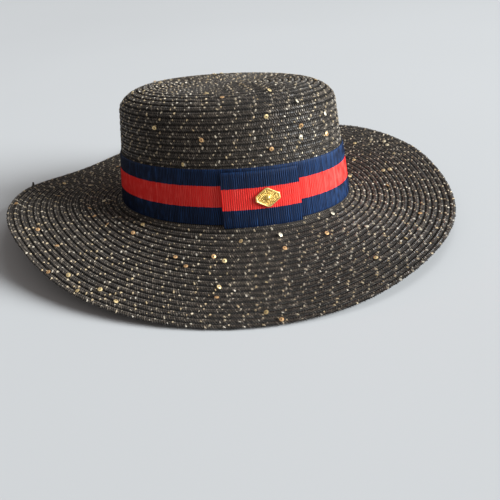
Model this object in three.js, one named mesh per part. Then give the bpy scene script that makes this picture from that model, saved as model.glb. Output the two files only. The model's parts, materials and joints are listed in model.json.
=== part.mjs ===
// A flat-crowned sun hat, sewn in rows from one plaited straw braid: an oval crown with a
// rounded shoulder, a broad brim that waves up and down, a striped ribbon around the crown's
// foot, a ribbon keeper laid over it and a brass stud on the keeper.
// Millimetres, +Z up. The wearer's front is -Y, and the hat rests on its rim at z = 0.
//
// The pieces are worked out with the crown standing upright and the brim's inner edge at
// height zero. A bearing is an angle around the crown, in degrees, from the wearer's front
// towards the wearer's left. The finished hat is then set down on the low points of its rim.

import * as THREE from 'three';

// Driving dimensions: the head opening inside, the braid's thickness, the gap kept between
// neighbouring pieces and the number of steps around the crown.
const HEAD_LENGTH = 196;
const HEAD_WIDTH = 162;
const WALL = 2;
const PIECE_GAP = 0.3;
const AROUND = 48;

// One row of braid: its width, and its crest's height over the seam beside it.
const ROW_PITCH = 4.9;
const ROW_RELIEF = 0.6;

// The crown's side leans in up to the shoulder, which rounds over to a flat top. The rows end
// at a button in the middle of the top, given by its half width.
const CROWN_HEIGHT = 91;
const CROWN_SIDE = { height: 74.5, leanIn: 7.3 };
const SHOULDER = { reach: 29, height: CROWN_HEIGHT - CROWN_SIDE.height };
const CROWN_BUTTON = 3;
const INNER_SHOULDER_STEPS = 7;

// The brim turns up into a short collar behind the ribbon. It slopes most beside the crown and
// flattens towards the rim: the bend is the share of the rim's rise that comes early.
const COLLAR_HEIGHT = 6;
const BRIM_ROWS = 18;
const BRIM_BEND = 0.5;
const BRIM_UNDERSIDE_STEPS = 5;

// The brim at twelve bearings: its reach out from the crown, seen from above, and the rise of
// its rim over the crown's foot. It droops at the front right and lifts at the left side.
const BRIM_SECTIONS = [
  { bearing: 0, reach: 83, rise: -18 },
  { bearing: 30, reach: 82, rise: -5 },
  { bearing: 60, reach: 84, rise: 15 },
  { bearing: 90, reach: 88, rise: 22 },
  { bearing: 120, reach: 90, rise: 10 },
  { bearing: 150, reach: 92, rise: 16 },
  { bearing: 180, reach: 93, rise: 2 },
  { bearing: 210, reach: 94, rise: 7 },
  { bearing: 240, reach: 93, rise: 2 },
  { bearing: 270, reach: 91, rise: -22 },
  { bearing: 300, reach: 88, rise: -35 },
  { bearing: 330, reach: 86, rise: -33 },
];

// The ribbon and its keeper: the height of the lower edge, the width and the thickness. The
// keeper spans two bearings, lies a loft clear of the ribbon and lifts at its first edge.
const RIBBON = { foot: 1.7, width: 40.5, thickness: 0.8 };
const TAB = { foot: -0.3, width: 40.5, thickness: 0.9, from: 301, to: 336.3, steps: 12 };
const TAB_LOFT = 0.8;
const TAB_EDGE = { lift: 1.2, sharpness: 4 };

// The stud's outline is a lozenge with cut ends, and its relief is a table of rings from the
// back to the tip of the boss: the share of the outline each ring takes, and its height.
const STUD = { bearing: 320.7, height: 20.8, length: 18, width: 14, endWidth: 4, tilt: 4 };
const STUD_RINGS = [
  { share: 0.92, height: 0 },
  { share: 1, height: 0.5 },
  { share: 1, height: 1.1 },
  { share: 0.86, height: 1.9 },
  { share: 0.68, height: 1.5 },
  { share: 0.4, height: 2.1 },
  { share: 0.26, height: 3.2 },
  { share: 0.12, height: 3.7 },
];

const TOUCH_TOLERANCE = 1e-6;

const STRAW_LOOK = { color: 0x2b2823, roughness: 0.75, metalness: 0 };
const RIBBON_LOOK = { color: 0x16264d, roughness: 0.8, metalness: 0 };
const BRASS_LOOK = { color: 0xd0a03a, roughness: 0.35, metalness: 1 };

const HALF_LENGTH = HEAD_LENGTH / 2 + WALL;
const HALF_WIDTH = HEAD_WIDTH / 2 + WALL;
const BEARINGS = Array.from({ length: AROUND }, (_, i) => (i * 360) / AROUND);
const rad = THREE.MathUtils.degToRad;

// A point at a bearing on the crown's oval, drawn in by an inset and at a height.
function crownPoint(bearing, inset, height) {
  const angle = rad(bearing);
  const x = (HALF_WIDTH - inset) * Math.sin(angle);
  const y = -(HALF_LENGTH - inset) * Math.cos(angle);
  return new THREE.Vector3(x, y, height);
}

// The level direction straight out of the crown's oval at a bearing.
function outward(bearing) {
  const angle = rad(bearing);
  return new THREE.Vector3(Math.sin(angle) / HALF_WIDTH, -Math.cos(angle) / HALF_LENGTH, 0).normalize();
}

// How far the crown's side has leaned in at a height.
function sideInset(height) {
  return (CROWN_SIDE.leanIn * height) / CROWN_SIDE.height;
}

// A smooth closed curve through one column of the brim's sections, read at a bearing.
function brimAt(bearing, column) {
  const count = BRIM_SECTIONS.length;
  const place = (bearing / 360) * count;
  const first = Math.floor(place);
  const t = place - first;
  const row = (offset) => BRIM_SECTIONS[(first + offset + count) % count][column];
  const [a, b, c, d] = [row(-1), row(0), row(1), row(2)];
  const slope = (c - a) * t;
  const bend = (2 * a - 5 * b + 4 * c - d) * t * t;
  const turn = (3 * b - a - 3 * c + d) * t * t * t;
  return b + (slope + bend + turn) / 2;
}

// A closed body skinned over loops of points. The loops either come round to the first again
// or are closed by a fan at each end, and the faces are turned to point outwards.
function skin(loops, comesRound = false) {
  const size = loops[0].length;
  const points = loops.flat();
  const faces = [];
  const spans = comesRound ? loops.length : loops.length - 1;
  for (let i = 0; i < spans; i += 1) {
    const near = i * size;
    const far = ((i + 1) % loops.length) * size;
    for (let j = 0; j < size; j += 1) {
      const k = (j + 1) % size;
      faces.push([near + j, near + k, far + k], [near + j, far + k, far + j]);
    }
  }
  if (!comesRound) {
    const last = (loops.length - 1) * size;
    const fan = (start, flip) => {
      const ring = points.slice(start, start + size);
      const middle = ring.reduce((sum, p) => sum.add(p), new THREE.Vector3()).divideScalar(size);
      const centre = points.push(middle) - 1;
      for (let j = 0; j < size; j += 1) {
        const edge = [start + j, start + ((j + 1) % size)];
        faces.push(flip ? [edge[1], edge[0], centre] : [edge[0], edge[1], centre]);
      }
    };
    fan(0, true);
    fan(last, false);
  }
  const cross = new THREE.Vector3();
  const volume = faces.reduce((sum, [a, b, c]) => (
    sum + points[a].dot(cross.crossVectors(points[b], points[c]))
  ), 0);
  const outwards = volume > 0 ? faces : faces.map(([a, b, c]) => [a, c, b]);
  const geometry = new THREE.BufferGeometry().setFromPoints(points);
  geometry.setIndex(outwards.flat());
  geometry.computeVertexNormals();
  return geometry;
}

function piece(name, geometry, look) {
  const mesh = new THREE.Mesh(geometry, new THREE.MeshStandardMaterial(look));
  mesh.name = name;
  return mesh;
}

// The crown's outer profile as inset and height, from the ribbon's top edge over the shoulder
// to the button in the middle of the top.
function crownProfile(from) {
  const path = new THREE.CurvePath();
  const edge = CROWN_SIDE.leanIn + SHOULDER.reach;
  const foot = new THREE.Vector2(sideInset(from), from);
  const shoulderFoot = new THREE.Vector2(CROWN_SIDE.leanIn, CROWN_SIDE.height);
  path.add(new THREE.LineCurve(foot, shoulderFoot));
  path.add(new THREE.EllipseCurve(
    edge, CROWN_SIDE.height, SHOULDER.reach, SHOULDER.height, Math.PI, Math.PI / 2, true,
  ));
  const shoulderTop = new THREE.Vector2(edge, CROWN_HEIGHT);
  path.add(new THREE.LineCurve(shoulderTop, new THREE.Vector2(HALF_WIDTH - CROWN_BUTTON, CROWN_HEIGHT)));
  return path;
}

// The direction out of the wall at a share of the profile's length.
function profileNormal(path, share) {
  const tangent = path.getTangent(share);
  return new THREE.Vector2(-tangent.y, tangent.x);
}

// The crown is smooth where the ribbon hides it. Above, each row of braid is a low rounded rib.
// The inside follows the same profile one wall in, and its top is flat.
function crown() {
  const ring = ({ x, y }) => BEARINGS.map((bearing) => crownPoint(bearing, x, y));
  const foot = COLLAR_HEIGHT + PIECE_GAP;
  const outer = [new THREE.Vector2(sideInset(foot), foot)];
  const path = crownProfile(RIBBON.foot + RIBBON.width);
  const rows = Math.round(path.getLength() / ROW_PITCH);
  for (let i = 0; i <= rows * 2; i += 1) {
    const share = i / (rows * 2);
    const lift = i % 2 === 1 ? ROW_RELIEF : 0;
    outer.push(path.getPoint(share).addScaledVector(profileNormal(path, share), lift));
  }
  const inner = [new THREE.Vector2(sideInset(foot) + WALL, foot)];
  for (let i = 0; i <= INNER_SHOULDER_STEPS; i += 1) {
    const angle = (i / INNER_SHOULDER_STEPS) * (Math.PI / 2);
    inner.push(new THREE.Vector2(
      CROWN_SIDE.leanIn + SHOULDER.reach - (SHOULDER.reach - WALL) * Math.cos(angle),
      CROWN_SIDE.height + (SHOULDER.height - WALL) * Math.sin(angle),
    ));
  }
  return skin([...outer.reverse().map(ring), ...inner.map(ring)]);
}

// One section of the brim: down the collar's outside, out over the rows of braid to the rim,
// back along the smooth underside and up the collar's inside.
function brimSection(bearing) {
  const out = outward(bearing);
  const reach = brimAt(bearing, 'reach');
  const rise = brimAt(bearing, 'rise');
  const at = (away, height) => {
    const wall = crownPoint(bearing, Math.max(0, sideInset(height)), height);
    return wall.addScaledVector(out, away);
  };
  const over = (share) => rise * ((1 + BRIM_BEND) * share - BRIM_BEND * share * share);
  const lies = (share, height) => {
    const wall = crownPoint(bearing, 0, over(share) + height);
    return wall.addScaledVector(out, reach * share);
  };
  const loop = [at(0, COLLAR_HEIGHT)];
  for (let i = 0; i <= BRIM_ROWS * 2; i += 1) {
    loop.push(lies(i / (BRIM_ROWS * 2), i % 2 === 1 ? ROW_RELIEF : 0));
  }
  for (let i = BRIM_UNDERSIDE_STEPS; i > 0; i -= 1) {
    loop.push(lies(i / BRIM_UNDERSIDE_STEPS, -WALL));
  }
  loop.push(at(0, -WALL), at(-WALL, 0), at(-WALL, COLLAR_HEIGHT));
  return loop;
}

function brim() {
  return skin(BEARINGS.map(brimSection), true);
}

// A ribbon's section at a bearing: its foot and top edge, and how far it stands off the crown.
function ribbonSection(bearing, { foot, width, thickness }, standOff) {
  const out = outward(bearing);
  const at = (height, away) => crownPoint(bearing, sideInset(height), height).addScaledVector(out, away);
  const top = foot + width;
  const back = standOff + thickness;
  return [at(foot, standOff), at(foot, back), at(top, back), at(top, standOff)];
}

function ribbonBand() {
  return skin(BEARINGS.map((bearing) => ribbonSection(bearing, RIBBON, PIECE_GAP)), true);
}

// The keeper lies close on the ribbon, apart from its first edge.
function tabStandOff(bearing) {
  const along = (bearing - TAB.from) / (TAB.to - TAB.from);
  const lift = TAB_EDGE.lift * (1 - along) ** TAB_EDGE.sharpness;
  return PIECE_GAP + RIBBON.thickness + TAB_LOFT + lift;
}

function ribbonTab() {
  const sections = [];
  for (let i = 0; i <= TAB.steps; i += 1) {
    const bearing = THREE.MathUtils.lerp(TAB.from, TAB.to, i / TAB.steps);
    sections.push(ribbonSection(bearing, TAB, tabStandOff(bearing)));
  }
  return skin(sections);
}

function stud() {
  const half = { length: STUD.length / 2, width: STUD.width / 2, end: STUD.endWidth / 2 };
  const outline = [
    [half.length, -half.end], [half.length, half.end], [half.end, half.width],
    [-half.end, half.width], [-half.length, half.end], [-half.length, -half.end],
    [-half.end, -half.width], [half.end, -half.width],
  ];
  return skin(STUD_RINGS.map(({ share, height }) => (
    outline.map(([x, y]) => new THREE.Vector3(x * share, y * share, height))
  )));
}

// The stud lies flat on the keeper's face, its length along the ribbon, a few degrees aslant.
function placeStud(mesh) {
  const inset = sideInset(STUD.height);
  const out = outward(STUD.bearing);
  const away = tabStandOff(STUD.bearing) + TAB.thickness + PIECE_GAP;
  mesh.position.copy(crownPoint(STUD.bearing, inset, STUD.height)).addScaledVector(out, away);
  const lean = Math.atan2(CROWN_SIDE.leanIn, CROWN_SIDE.height);
  const along = new THREE.Vector3(-out.y, out.x, 0);
  const face = out.clone().applyAxisAngle(along, -lean);
  const basis = new THREE.Matrix4().makeBasis(along, face.clone().cross(along), face);
  mesh.quaternion.setFromRotationMatrix(basis);
  mesh.rotateZ(rad(STUD.tilt));
}

// The surface a rim settles on: the plane through three of its points that has no other point
// below it and holds the crown's middle between the three.
function restingNormal(rim) {
  const side = (a, b) => a.x * b.y - a.y * b.x;
  const plane = new THREE.Plane();
  for (let i = 0; i < rim.length; i += 1) {
    for (let j = i + 1; j < rim.length; j += 1) {
      for (let k = j + 1; k < rim.length; k += 1) {
        const [a, b, c] = [rim[i], rim[j], rim[k]];
        const turns = [side(a, b), side(b, c), side(c, a)];
        if (turns.every((turn) => turn > 0)) {
          plane.setFromCoplanarPoints(a, b, c);
          if (rim.every((point) => plane.distanceToPoint(point) > -TOUCH_TOLERANCE)) {
            return plane.normal.clone();
          }
        }
      }
    }
  }
  throw new Error('the rim has no stable rest');
}

const hat = new THREE.Group();
const studMesh = piece('stud', stud(), BRASS_LOOK);
placeStud(studMesh);
hat.add(
  piece('crown', crown(), STRAW_LOOK),
  piece('brim', brim(), STRAW_LOOK),
  piece('ribbon_band', ribbonBand(), RIBBON_LOOK),
  piece('ribbon_tab', ribbonTab(), RIBBON_LOOK),
  studMesh,
);

const rimUnderside = BEARINGS.map((bearing) => {
  const point = crownPoint(bearing, 0, brimAt(bearing, 'rise') - WALL);
  return point.addScaledVector(outward(bearing), brimAt(bearing, 'reach'));
});
hat.quaternion.setFromUnitVectors(restingNormal(rimUnderside), new THREE.Vector3(0, 0, 1));
hat.updateMatrixWorld(true);
const box = new THREE.Box3().setFromObject(hat, true);
const middle = box.getCenter(new THREE.Vector3());
hat.position.set(-middle.x, -middle.y, -box.min.z);

export default hat;
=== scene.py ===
# A flat-crowned straw sun hat, set down on its rim: sewn rows of dark plaited braid with a
# metallic thread and a few sequins in it, a striped grosgrain band with its keeper, and a gilt
# stud. Sizes are millimetres in the crown's own frame, which stands upright with the brim's
# inner edge at height zero. A bearing runs in degrees from the wearer's front (-Y) to the left.

import json
import math

import bpy
import numpy as np
from mathutils import Matrix, Vector


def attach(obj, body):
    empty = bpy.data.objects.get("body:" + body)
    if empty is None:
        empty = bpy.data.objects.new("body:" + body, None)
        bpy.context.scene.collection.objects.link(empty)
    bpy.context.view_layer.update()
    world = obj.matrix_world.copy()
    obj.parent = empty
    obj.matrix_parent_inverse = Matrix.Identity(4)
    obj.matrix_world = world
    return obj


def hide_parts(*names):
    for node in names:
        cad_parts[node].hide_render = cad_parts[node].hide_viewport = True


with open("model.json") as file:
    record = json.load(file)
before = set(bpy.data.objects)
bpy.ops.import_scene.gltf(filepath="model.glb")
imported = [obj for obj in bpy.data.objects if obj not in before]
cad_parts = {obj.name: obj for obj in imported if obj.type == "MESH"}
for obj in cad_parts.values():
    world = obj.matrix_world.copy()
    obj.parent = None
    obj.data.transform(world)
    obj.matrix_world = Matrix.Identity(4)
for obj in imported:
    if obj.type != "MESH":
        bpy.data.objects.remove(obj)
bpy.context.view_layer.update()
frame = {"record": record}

# How the hat stands
# The rim is waved, so the hat settles on three low points of it with its crown a little aslant.
# The head opening's mount gives the middle of the crown's foot and the way that the crown leans.
head_opening = next(m for m in frame["record"]["mounts"] if m["name"] == "head_opening")
crown_foot = np.array(head_opening["pos_m"])
crown_up = -Vector(head_opening["axis"])
crown_lean = np.array(Vector((0, 0, 1)).rotation_difference(crown_up).to_matrix())


def stand(points):
    """Crown-frame millimetres as metres where the hat stands."""
    return points @ crown_lean.T / 1000 + crown_foot


def stand_way(ways):
    """Crown-frame directions as they lie on the standing hat."""
    return ways @ crown_lean.T


# The crown, coiled and sewn from one braid
# A flat plait of seven dyed paper-straw ends is coiled from the middle of the crown's top, down
# over the shoulder and the side, and machine-sewn to itself. Each round tucks under the edge of
# the round before, so every row ends in a small step down.
HEAD_LENGTH = 196.0
HEAD_WIDTH = 162.0
WALL = 2.0
HALF_LENGTH = HEAD_LENGTH / 2 + WALL
HALF_WIDTH = HEAD_WIDTH / 2 + WALL
CROWN_HEIGHT = 91.0
SIDE_HEIGHT = 74.5
SIDE_LEAN = 7.3
SHOULDER_REACH = 29.0
SHOULDER_STEPS = 90
FOOT_OVERRUN = 3.0
PROFILE_STEP = 0.4
CROWN_ROWS = 32

STRAND = 1.75
BRAID_HALF_THICKNESS = 0.4
TUCK = 0.06
LAP = 0.10
TUCKED_LIFT = -1.45
LAPPED_LIFT = -0.6
BULGE = 0.4
PLAIT_SPINE = 0.55
INNER_STRAND_LEAN = 0.9
OUTER_STRAND_LEAN = 2.3
ROUND_SAMPLES = 1081
STRIP_STEP = 3.5
MIN_STRIP_STEPS = 10
DOUBLED_DEPTH = 2.0
MAP_INSET = 0.001

# The braid's section, from the tucked edge over the face to the lapping edge and back below:
# the place across, and the height in half thicknesses.
BRAID_SECTION = [
    {"across": 0.00, "height": 0.0},
    {"across": 0.20, "height": 0.3},
    {"across": 0.80, "height": 0.3},
    {"across": 1.00, "height": 0.0},
    {"across": 0.75, "height": -1.0},
    {"across": 0.25, "height": -1.0},
]


def outward(bearing):
    """The level direction straight out of the crown's oval."""
    angle = np.radians(bearing)
    out = np.stack([np.sin(angle) / HALF_WIDTH, -np.cos(angle) / HALF_LENGTH, 0 * angle], -1)
    return out / np.linalg.norm(out, axis=-1, keepdims=True)


def crown_oval(bearing, inset, height):
    angle = np.radians(bearing)
    x = (HALF_WIDTH - inset) * np.sin(angle)
    y = -(HALF_LENGTH - inset) * np.cos(angle)
    return np.stack(np.broadcast_arrays(x, y, height), -1)


def run_along(points):
    """The distance walked to each point of a line."""
    return np.append(0, np.cumsum(np.linalg.norm(np.diff(points, axis=0), axis=1)))


# The profile runs from the middle of the top, over the quarter-ellipse shoulder, to the foot.
shoulder_turn = np.linspace(0, math.pi / 2, SHOULDER_STEPS)
profile = np.concatenate([
    [(HALF_WIDTH, CROWN_HEIGHT)],
    np.stack([
        SIDE_LEAN + SHOULDER_REACH * (1 - np.sin(shoulder_turn)),
        SIDE_HEIGHT + (CROWN_HEIGHT - SIDE_HEIGHT) * np.cos(shoulder_turn),
    ], -1),
    [(0.0, 0.0)],
    [(-SIDE_LEAN * FOOT_OVERRUN / SIDE_HEIGHT, -FOOT_OVERRUN)],
])
profile_run = run_along(profile)
crown_row_width = profile_run[-2] / CROWN_ROWS


def crown_at(bearing, row):
    """Points and outward directions on the crown, at a number of rows from its middle."""
    run = np.maximum(row, 0) * crown_row_width
    nearby = np.stack([run - PROFILE_STEP, run, run + PROFILE_STEP])
    inset = np.interp(nearby, profile_run, profile[:, 0])
    height = np.interp(nearby, profile_run, profile[:, 1])
    rises = np.stack([height[0] - height[2], inset[0] - inset[2]], -1)
    rises /= np.linalg.norm(rises, axis=-1, keepdims=True)
    out = outward(bearing) * rises[..., :1]
    out[..., 2] = rises[..., 1]
    return crown_oval(bearing, inset[1], height[1]), out


def braid_row(surface, row):
    """The strands in one round of braid, and a function that finds places on it."""
    bearing = np.linspace(0, 360, ROUND_SAMPLES)
    middle, _ = surface(bearing, np.full_like(bearing, row + 0.5))
    run = run_along(middle)
    strands = round(run[-1] / STRAND)
    pitch = run[-1] / strands

    def at(strand, across, height):
        inner = INNER_STRAND_LEAN * (PLAIT_SPINE - across) / PLAIT_SPINE
        outer = OUTER_STRAND_LEAN * (across - PLAIT_SPINE) / (1 - PLAIT_SPINE)
        walked = strand * pitch + np.where(across < PLAIT_SPINE, inner, outer)
        where = np.interp(walked % run[-1], run, bearing)
        points, out = surface(where, row - TUCK + across * (1 + TUCK + LAP))
        lift = TUCKED_LIFT + (LAPPED_LIFT - TUCKED_LIFT) * across + height
        lift = lift + BULGE * (1 - (2 * across - 1) ** 2)
        return points + out * lift[..., None], out

    return strands, at


def smooth_mesh(name, points, faces, uv_name=None, uv=None):
    mesh = bpy.data.meshes.new(name)
    mesh.from_pydata(points.tolist(), [], faces)
    if uv is not None:
        mesh.uv_layers.new(name=uv_name).data.foreach_set("uv", uv.astype(np.float32).ravel())
    mesh.shade_smooth()
    mesh.update()
    return mesh


def wrapped_faces(steps, sides, closed=True):
    """Quads over a row of loops, and the loop and side numbers of their corners."""
    spans = steps if closed else steps - 1
    i, j = np.meshgrid(np.arange(spans), np.arange(sides), indexing="ij")
    loop = np.stack([i, i, i + 1, i + 1], -1).reshape(-1, 4)
    side = np.stack([j, j + 1, j + 1, j], -1).reshape(-1, 4) % sides
    return (loop % steps) * sides + side, loop, side


def sewn_braid(name, surface, rows, doubled=None):
    """Rounds of braid as one mesh. Its map holds the strand's number, and the row and place across."""
    section = {key: np.array([s[key] for s in BRAID_SECTION]) for key in BRAID_SECTION[0]}
    all_points, all_faces, all_uv, count = [], [], [], 0
    for row in rows:
        strands, at = braid_row(surface, row)
        steps = max(MIN_STRIP_STEPS, round(strands * STRAND / STRIP_STEP))
        strand = np.arange(steps)[:, None] * strands / steps
        across = np.broadcast_to(section["across"], (steps, len(BRAID_SECTION)))
        height = BRAID_HALF_THICKNESS * section["height"]
        if row == doubled:
            height = np.where(height < 0, height * DOUBLED_DEPTH, height)
        points, _ = at(strand, across, np.broadcast_to(height, across.shape))
        faces, loop, side = wrapped_faces(steps, len(BRAID_SECTION))
        u = loop * strands / steps
        v = row + MAP_INSET + (1 - 2 * MAP_INSET) * section["across"][side]
        all_points.append(points.reshape(-1, 3))
        all_faces.append(faces + count)
        all_uv.append(np.stack([u, v], -1).reshape(-1, 2))
        count += points.shape[0] * points.shape[1]
    points = stand(np.concatenate(all_points))
    faces = np.concatenate(all_faces).tolist()
    return smooth_mesh(name, points, faces, "plait", np.concatenate(all_uv))


def put(name, data):
    """A new object in the scene."""
    thing = bpy.data.objects.new(name, data)
    bpy.context.scene.collection.objects.link(thing)
    return thing


def show(name, mesh, material, slot, *replaced):
    """A finished piece, riding on the hat."""
    piece = put(name, mesh)
    if material is not None:
        mesh.materials.clear()
        mesh.materials.append(material)
    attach(piece, "root")
    if replaced:
        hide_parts(*replaced)
    return piece


def feed(tree, node, inputs):
    """Sets or links a node's inputs, by place or by name."""
    for key, value in inputs.items() if isinstance(inputs, dict) else enumerate(inputs):
        if isinstance(value, bpy.types.NodeSocket):
            tree.links.new(value, node.inputs[key])
        elif value is not None:
            node.inputs[key].default_value = value


def add(tree, kind, inputs=(), **settings):
    """A node with its settings and its inputs."""
    node = tree.nodes.new(kind)
    for name, value in settings.items():
        setattr(node, name, value)
    feed(tree, node, inputs)
    return node


def made(tree, kind, inputs=(), **settings):
    """The first output of a new node."""
    return add(tree, kind, inputs, **settings).outputs[0]


def calc(tree, operation, *values):
    return made(tree, "ShaderNodeMath", values, operation=operation)


def times(tree, first, second):
    return calc(tree, "MULTIPLY", first, second)


def split(tree, vector):
    """A vector's three numbers."""
    return add(tree, "ShaderNodeSeparateXYZ", [vector]).outputs


def between(tree, share, none, full):
    """A number that goes from one value to another with a share."""
    return calc(tree, "MULTIPLY_ADD", share, full - none, none)


def ramp(tree, value, low, high, most):
    """Rises smoothly from nothing at the low value to the most at the high one."""
    inputs = [value, low, high, 0.0, most]
    return made(tree, "ShaderNodeMapRange", inputs, interpolation_type="SMOOTHSTEP")


def blend_colour(tree, share, first, second):
    mix = add(tree, "ShaderNodeMix", {0: share, 6: first, 7: second}, data_type="RGBA")
    return mix.outputs[2]


def bumped(tree, height, relief):
    return made(tree, "ShaderNodeBump", {"Height": height, **relief})


def marked(tree, name, kind="Fac"):
    """A mark that the mesh carries at its points."""
    return add(tree, "ShaderNodeAttribute", attribute_name=name).outputs[kind]


def new_finish(name):
    """A material with its node tree and its main shader."""
    material = bpy.data.materials.new(name)
    material.use_nodes = True
    tree = material.node_tree
    return material, tree, tree.nodes["Principled BSDF"]


def open_tree(name, kind, inputs, outputs):
    """A node group with its sockets, and what its group input gives."""
    tree = bpy.data.node_groups.new(name, kind)
    for way, sockets in (("INPUT", inputs), ("OUTPUT", outputs)):
        for socket, socket_kind in sockets.items():
            tree.interface.new_socket(socket, in_out=way, socket_type=f"NodeSocket{socket_kind}")
    return tree, tree.nodes.new("NodeGroupInput").outputs


def shader_group(name, inputs, output):
    return open_tree(name, "ShaderNodeTree", dict.fromkeys(inputs, "Float"), {output: "Float"})


def ridges_group():
    """Rounded ridges, one at each whole number: 1 on the crest and 0 in the furrow."""
    tree, given = shader_group("rounded_ridges", ["Number"], "Ridge")
    turn = times(tree, given["Number"], 2 * math.pi)
    add(tree, "NodeGroupOutput", [between(tree, calc(tree, "COSINE", turn), 0.5, 1.0)])
    return tree


def streaks_group():
    """Fine uneven streaks of fibre or thread, drawn out by a scale along and a scale across."""
    inputs = ["Along", "Across", "Along Scale", "Across Scale", "Detail"]
    tree, given = shader_group("fibre_streaks", inputs, "Streak")
    place = made(tree, "ShaderNodeCombineXYZ", [
        times(tree, given["Along"], given["Along Scale"]),
        times(tree, given["Across"], given["Across Scale"]),
    ])
    noise = {"Vector": place, "Scale": 1.0, "Detail": given["Detail"]}
    add(tree, "NodeGroupOutput", [made(tree, "ShaderNodeTexNoise", noise, noise_dimensions="2D")])
    return tree


def patches_group():
    """Soft patches all over a piece."""
    tree, given = shader_group("soft_patches", ["Scale", "Detail"], "Patch")
    where = add(tree, "ShaderNodeTexCoord").outputs["Object"]
    noise = {"Vector": where, "Scale": given["Scale"], "Detail": given["Detail"]}
    add(tree, "NodeGroupOutput", [made(tree, "ShaderNodeTexNoise", noise)])
    return tree


def grouped(tree, group, inputs):
    return made(tree, "ShaderNodeGroup", inputs, node_tree=group)


rounded_ridges = ridges_group()
fibre_streaks = streaks_group()
soft_patches = patches_group()

# Dyed paper straw: each end takes the dye a little differently, its fibres run along the strand,
# and it has the low gloss of a light size. The strips show the same plait below as a low relief,
# with painted shade in its furrows. The dark straw colour is also the painted shade that the
# strands take in their crevices.
STRAW_DARK = (0.006, 0.0042, 0.003, 1)
STRAW_MIDDLE = (0.17, 0.135, 0.104, 1)
STRAW_PALE = (0.32, 0.26, 0.20, 1)
PLAIT_CREST = 0.25
STRIP_ROUGHNESS = {"none": 0.8, "full": 0.55}
STRIP_RELIEF = {"Strength": 0.9, "Distance": 0.0006}
FIBRE = {"Along Scale": 2.0, "Across Scale": 9.0, "Detail": 2.0}
FIBRE_APART = 45.0
DYE_PATCHES = {"Scale": 26.0, "Detail": 2.0}
DYE_TAKEN = {"none": 0.25, "full": 0.75}
PALE_ENDS = {"sharpness": 9.0, "strength": 1.6}
# Painted shade: strands go darker towards the row's edge and along their sides, in the crevices.
EDGE_PAINTED_SHADE = {"low": -0.1, "high": 0.22, "most": 0.95}
SIDE_PAINTED_SHADE = {"low": 0.22, "high": 0.42, "most": 0.9}
FIBRE_ROUGHNESS = {"none": 0.20, "full": 0.50}
PAINTED_SHADE_ROUGHNESS = 0.5
STRAND_RELIEF = {"Strength": 0.3, "Distance": 0.0002}


def strip_finish():
    material, tree, shader = new_finish("straw_strip")
    plait = made(tree, "ShaderNodeUVMap", uv_map="plait")
    strand, row, _ = split(tree, plait)
    ridge = grouped(tree, rounded_ridges, {"Number": strand})
    across = calc(tree, "FRACT", row)
    from_spine = calc(tree, "ABSOLUTE", calc(tree, "SUBTRACT", across, PLAIT_SPINE))
    from_crest = calc(tree, "ABSOLUTE", calc(tree, "SUBTRACT", from_spine, PLAIT_CREST))
    crest = calc(tree, "MULTIPLY_ADD", from_crest, -1 / PLAIT_CREST, 1.0)
    # The relief darkens the colour in the furrows as painted shade, and also drives the bump.
    relief = times(tree, ridge, calc(tree, "MAXIMUM", crest, 0.0))
    feed(tree, shader, {
        "Base Color": blend_colour(tree, relief, STRAW_DARK, STRAW_MIDDLE),
        "Roughness": between(tree, relief, **STRIP_ROUGHNESS),
        "Normal": bumped(tree, relief, STRIP_RELIEF),
    })
    return material


def strand_finish():
    """Straw with its own dye in each strand, and painted shade along its sides and towards the row's
    edge.
    """
    material, tree, shader = new_finish("straw_strands")
    end = marked(tree, "end")
    along, across, _ = split(tree, marked(tree, "grain", "Vector"))
    fibre = grouped(tree, fibre_streaks, {
        "Along": calc(tree, "MULTIPLY_ADD", end, FIBRE_APART, along), "Across": across, **FIBRE,
    })
    patch = grouped(tree, soft_patches, DYE_PATCHES)
    taken = between(tree, end, **DYE_TAKEN)
    tone = times(tree, taken, calc(tree, "ADD", patch, fibre))
    deep = blend_colour(tree, tone, STRAW_DARK, STRAW_MIDDLE)
    few = calc(tree, "POWER", end, PALE_ENDS["sharpness"])
    pale = times(tree, few, times(tree, fibre, PALE_ENDS["strength"]))
    dyed = blend_colour(tree, pale, deep, STRAW_PALE)
    # Painted shade in the crevices at the row's edge and between strands, not the straw's own colour.
    towards_edge = times(tree, along, marked(tree, "edge"))
    towards_side = calc(tree, "ABSOLUTE", across)
    painted_shade = calc(
        tree, "MAXIMUM",
        ramp(tree, towards_edge, **EDGE_PAINTED_SHADE), ramp(tree, towards_side, **SIDE_PAINTED_SHADE),
    )
    gloss = between(tree, fibre, **FIBRE_ROUGHNESS)
    feed(tree, shader, {
        "Base Color": blend_colour(tree, painted_shade, dyed, STRAW_DARK),
        "Roughness": calc(tree, "MULTIPLY_ADD", painted_shade, PAINTED_SHADE_ROUGHNESS, gloss),
        "Normal": bumped(tree, fibre, STRAND_RELIEF),
    })
    return material


# The strands come up in two leaning columns, one on each side of the plait's spine. Each time a
# strand comes up it shows as one short flat length, narrower at its face. A cell gives its place
# across and its size, and how much painted shade it takes towards its edge of the row.
STRAND_CELLS = [
    {"edge": -1.0, "across": 0.41, "length": 2.5, "width": 1.35, "thickness": 0.95},
    {"edge": 0.5, "across": 0.77, "length": 2.9, "width": 1.1, "thickness": 0.9},
]
STRAND_LAY = {"Taper": 0.4, "Askew": 0.18, "Smallest": 0.8, "Largest": 1.12, "Seed": 5}
STRAND_AHEAD = 0.08
CELL_LIFT = 0.22
# How strongly the crevice shade is painted on the strands, on the crown and on the brim.
CREVICE_SHADE_MOST = 1.5
CROWN_CREVICE_SHADE = 0.6
BRAID_SEED = 11


def geometry_tree(name, inputs):
    """A Geometry Nodes tree with a geometry going through."""
    through = {"Geometry": "Geometry"}
    return open_tree(name, "GeometryNodeTree", through | inputs, through)


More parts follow.
